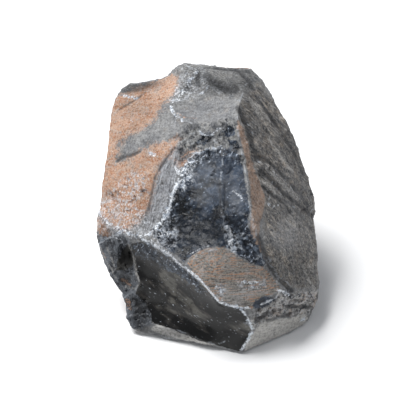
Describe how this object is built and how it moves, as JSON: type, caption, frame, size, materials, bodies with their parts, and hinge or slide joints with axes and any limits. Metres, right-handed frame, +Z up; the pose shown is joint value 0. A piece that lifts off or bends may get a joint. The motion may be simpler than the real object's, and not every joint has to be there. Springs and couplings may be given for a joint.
{
  "type": "obsidian boulder",
  "caption": "Boulder of banded mahogany obsidian: a solid block of volcanic glass with broad fracture faces, hollow flake scars and sharp ridges, resting on a small flat spot.",
  "frame": {"origin": "on the ground plane, under the middle of the boulder's bounding box", "axes": "+Z up, -Z out of the flat spot it rests on, -Y toward the broad banded front with the black flake scar"},
  "size_m": [0.2672, 0.2804, 0.2342],
  "materials": {
    "mahogany obsidian": "black glass on fresh flake scars, satin grey on older fractures, matt orange-brown bands, white crushed ridges"
  },
  "bodies": {
    "root": {"boulder": "mahogany obsidian"}
  },
  "joints": []
}
